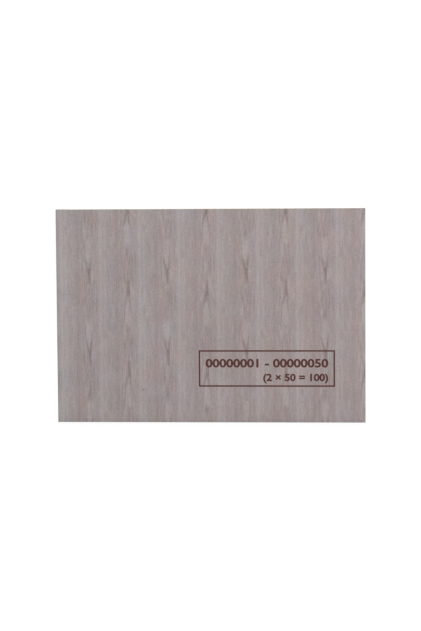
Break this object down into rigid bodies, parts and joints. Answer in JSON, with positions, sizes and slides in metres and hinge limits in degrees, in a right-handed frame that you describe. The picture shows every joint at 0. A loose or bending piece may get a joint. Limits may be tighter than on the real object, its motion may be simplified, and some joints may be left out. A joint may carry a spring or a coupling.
{
  "type": "duplicate receipt book",
  "caption": "Landscape receipt book: wood-grain card cover wrapped round a stitched block of white originals with tear-off receipts, tinted copies and a loose writing shield.",
  "frame": {"origin": "under the middle of the closed book, on the surface that it lies on", "axes": "+X from the spine to the fore edge, +Y up the page, +Z through the book from back cover to front"},
  "size_m": [0.195, 0.135, 0.0088],
  "materials": {
    "cover_card": "matt, printed",
    "binding_glue": "satin hot melt",
    "stitch_wire": "drawn",
    "original_paper": "matt",
    "copy_paper": "matt",
    "shield_board": "matt grey board"
  },
  "bodies": {
    "spine_block": {"cover_spine": "cover_card", "binding_glue": "binding_glue", "wire_stitches": "stitch_wire", "original_margins": "original_paper", "copy_margins": "copy_paper"},
    "front_cover": {"cover_front": "cover_card"},
    "back_cover": {"cover_back": "cover_card"},
    "shield": {"writing_shield": "shield_board"},
    "gather_06_10": {"originals_06_10": "original_paper", "copies_06_10": "copy_paper"},
    "gather_11_15": {"originals_11_15": "original_paper", "copies_11_15": "copy_paper"},
    "gather_16_20": {"originals_16_20": "original_paper", "copies_16_20": "copy_paper"},
    "gather_21_25": {"originals_21_25": "original_paper", "copies_21_25": "copy_paper"},
    "gather_26_30": {"originals_26_30": "original_paper", "copies_26_30": "copy_paper"},
    "gather_31_35": {"originals_31_35": "original_paper", "copies_31_35": "copy_paper"},
    "gather_36_40": {"originals_36_40": "original_paper", "copies_36_40": "copy_paper"},
    "gather_41_45": {"originals_41_45": "original_paper", "copies_41_45": "copy_paper"},
    "gather_46_50": {"originals_46_50": "original_paper", "copies_46_50": "copy_paper"},
    "stub_01": {"original_stub_01": "original_paper"},
    "receipt_01": {"original_01": "original_paper"},
    "copy_leaf_01": {"copy_01": "copy_paper"},
    "stub_02": {"original_stub_02": "original_paper"},
    "receipt_02": {"original_02": "original_paper"},
    "copy_leaf_02": {"copy_02": "copy_paper"},
    "stub_03": {"original_stub_03": "original_paper"},
    "receipt_03": {"original_03": "original_paper"},
    "copy_leaf_03": {"copy_03": "copy_paper"},
    "stub_04": {"original_stub_04": "original_paper"},
    "receipt_04": {"original_04": "original_paper"},
    "copy_leaf_04": {"copy_04": "copy_paper"},
    "stub_05": {"original_stub_05": "original_paper"},
    "receipt_05": {"original_05": "original_paper"},
    "copy_leaf_05": {"copy_05": "copy_paper"}
  },
  "joints": [
    {"name": "gather_06_10_turn", "type": "hinge", "parent": "spine_block", "child": "gather_06_10", "pos_m": [-0.0885, 0, 0.0088], "axis": [0, 1, 0], "range_deg": [-138, 0]},
    {"name": "gather_11_15_turn", "type": "hinge", "parent": "spine_block", "child": "gather_11_15", "pos_m": [-0.0885, 0, 0.0088], "axis": [0, 1, 0], "range_deg": [-124, 0]},
    {"name": "gather_16_20_turn", "type": "hinge", "parent": "spine_block", "child": "gather_16_20", "pos_m": [-0.0885, 0, 0.0088], "axis": [0, 1, 0], "range_deg": [-108, 0]},
    {"name": "gather_21_25_turn", "type": "hinge", "parent": "spine_block", "child": "gather_21_25", "pos_m": [-0.0885, 0, 0.0088], "axis": [0, 1, 0], "range_deg": [-90, 0]},
    {"name": "gather_26_30_turn", "type": "hinge", "parent": "spine_block", "child": "gather_26_30", "pos_m": [-0.0885, 0, 0.0088], "axis": [0, 1, 0], "range_deg": [-72, 0]},
    {"name": "gather_31_35_turn", "type": "hinge", "parent": "spine_block", "child": "gather_31_35", "pos_m": [-0.0885, 0, 0.0088], "axis": [0, 1, 0], "range_deg": [-54, 0]},
    {"name": "gather_36_40_turn", "type": "hinge", "parent": "spine_block", "child": "gather_36_40", "pos_m": [-0.0885, 0, 0.0088], "axis": [0, 1, 0], "range_deg": [-38, 0]},
    {"name": "gather_41_45_turn", "type": "hinge", "parent": "spine_block", "child": "gather_41_45", "pos_m": [-0.0885, 0, 0.0088], "axis": [0, 1, 0], "range_deg": [-22, 0]},
    {"name": "gather_46_50_turn", "type": "hinge", "parent": "spine_block", "child": "gather_46_50", "pos_m": [-0.0885, 0, 0.0088], "axis": [0, 1, 0], "range_deg": [-8, 0]},
    {"name": "stub_01_turn", "type": "hinge", "parent": "spine_block", "child": "stub_01", "pos_m": [-0.0885, 0, 0.0088], "axis": [0, 1, 0], "range_deg": [-175, 0]},
    {"name": "copy_leaf_01_turn", "type": "hinge", "parent": "spine_block", "child": "copy_leaf_01", "pos_m": [-0.0885, 0, 0.0088], "axis": [0, 1, 0], "range_deg": [-172, 0]},
    {"name": "receipt_01_tear", "type": "slide", "parent": "stub_01", "child": "receipt_01", "axis": [1, 0, 0], "range_m": [0, 0.18]},
    {"name": "stub_02_turn", "type": "hinge", "parent": "spine_block", "child": "stub_02", "pos_m": [-0.0885, 0, 0.0088], "axis": [0, 1, 0], "range_deg": [-169, 0]},
    {"name": "copy_leaf_02_turn", "type": "hinge", "parent": "spine_block", "child": "copy_leaf_02", "pos_m": [-0.0885, 0, 0.0088], "axis": [0, 1, 0], "range_deg": [-166, 0]},
    {"name": "receipt_02_tear", "type": "slide", "parent": "stub_02", "child": "receipt_02", "axis": [1, 0, 0], "range_m": [0, 0.18]},
    {"name": "stub_03_turn", "type": "hinge", "parent": "spine_block", "child": "stub_03", "pos_m": [-0.0885, 0, 0.0088], "axis": [0, 1, 0], "range_deg": [-163, 0]},
    {"name": "copy_leaf_03_turn", "type": "hinge", "parent": "spine_block", "child": "copy_leaf_03", "pos_m": [-0.0885, 0, 0.0088], "axis": [0, 1, 0], "range_deg": [-160, 0]},
    {"name": "receipt_03_tear", "type": "slide", "parent": "stub_03", "child": "receipt_03", "axis": [1, 0, 0], "range_m": [0, 0.18]},
    {"name": "stub_04_turn", "type": "hinge", "parent": "spine_block", "child": "stub_04", "pos_m": [-0.0885, 0, 0.0088], "axis": [0, 1, 0], "range_deg": [-157, 0]},
    {"name": "copy_leaf_04_turn", "type": "hinge", "parent": "spine_block", "child": "copy_leaf_04", "pos_m": [-0.0885, 0, 0.0088], "axis": [0, 1, 0], "range_deg": [-154, 0]},
    {"name": "receipt_04_tear", "type": "slide", "parent": "stub_04", "child": "receipt_04", "axis": [1, 0, 0], "range_m": [0, 0.18]},
    {"name": "stub_05_turn", "type": "hinge", "parent": "spine_block", "child": "stub_05", "pos_m": [-0.0885, 0, 0.0088], "axis": [0, 1, 0], "range_deg": [-151, 0]},
    {"name": "copy_leaf_05_turn", "type": "hinge", "parent": "spine_block", "child": "copy_leaf_05", "pos_m": [-0.0885, 0, 0.0088], "axis": [0, 1, 0], "range_deg": [-148, 0]},
    {"name": "receipt_05_tear", "type": "slide", "parent": "stub_05", "child": "receipt_05", "axis": [1, 0, 0], "range_m": [0, 0.18]},
    {"name": "front_cover_hinge", "type": "hinge", "parent": "stub_01", "child": "front_cover", "pos_m": [-0.0885, 0, 0.0088], "axis": [0, -1, 0], "range_deg": [0, 178]},
    {"name": "back_cover_hinge", "type": "hinge", "parent": "spine_block", "child": "back_cover", "pos_m": [-0.0885, 0, 0], "axis": [0, -1, 0], "range_deg": [-178, 0]},
    {"name": "shield_slide", "type": "slide", "parent": "stub_02", "child": "shield", "axis": [1, 0, 0], "range_m": [0, 0.18]}
  ],
  "couplings": [
    {"joint": "gather_11_15_turn", "follows": "gather_06_10_turn", "ratio": 0.89855},
    {"joint": "gather_16_20_turn", "follows": "gather_06_10_turn", "ratio": 0.78261},
    {"joint": "gather_21_25_turn", "follows": "gather_06_10_turn", "ratio": 0.65217},
    {"joint": "gather_26_30_turn", "follows": "gather_06_10_turn", "ratio": 0.52174},
    {"joint": "gather_31_35_turn", "follows": "gather_06_10_turn", "ratio": 0.3913},
    {"joint": "gather_36_40_turn", "follows": "gather_06_10_turn", "ratio": 0.27536},
    {"joint": "gather_41_45_turn", "follows": "gather_06_10_turn", "ratio": 0.15942},
    {"joint": "gather_46_50_turn", "follows": "gather_06_10_turn", "ratio": 0.057971},
    {"joint": "stub_01_turn", "follows": "gather_06_10_turn", "ratio": 1.2681},
    {"joint": "copy_leaf_01_turn", "follows": "gather_06_10_turn", "ratio": 1.2464},
    {"joint": "stub_02_turn", "follows": "gather_06_10_turn", "ratio": 1.2246},
    {"joint": "copy_leaf_02_turn", "follows": "gather_06_10_turn", "ratio": 1.2029},
    {"joint": "stub_03_turn", "follows": "gather_06_10_turn", "ratio": 1.1812},
    {"joint": "copy_leaf_03_turn", "follows": "gather_06_10_turn", "ratio": 1.1594},
    {"joint": "stub_04_turn", "follows": "gather_06_10_turn", "ratio": 1.1377},
    {"joint": "copy_leaf_04_turn", "follows": "gather_06_10_turn", "ratio": 1.1159},
    {"joint": "stub_05_turn", "follows": "gather_06_10_turn", "ratio": 1.0942},
    {"joint": "copy_leaf_05_turn", "follows": "gather_06_10_turn", "ratio": 1.0725}
  ]
}
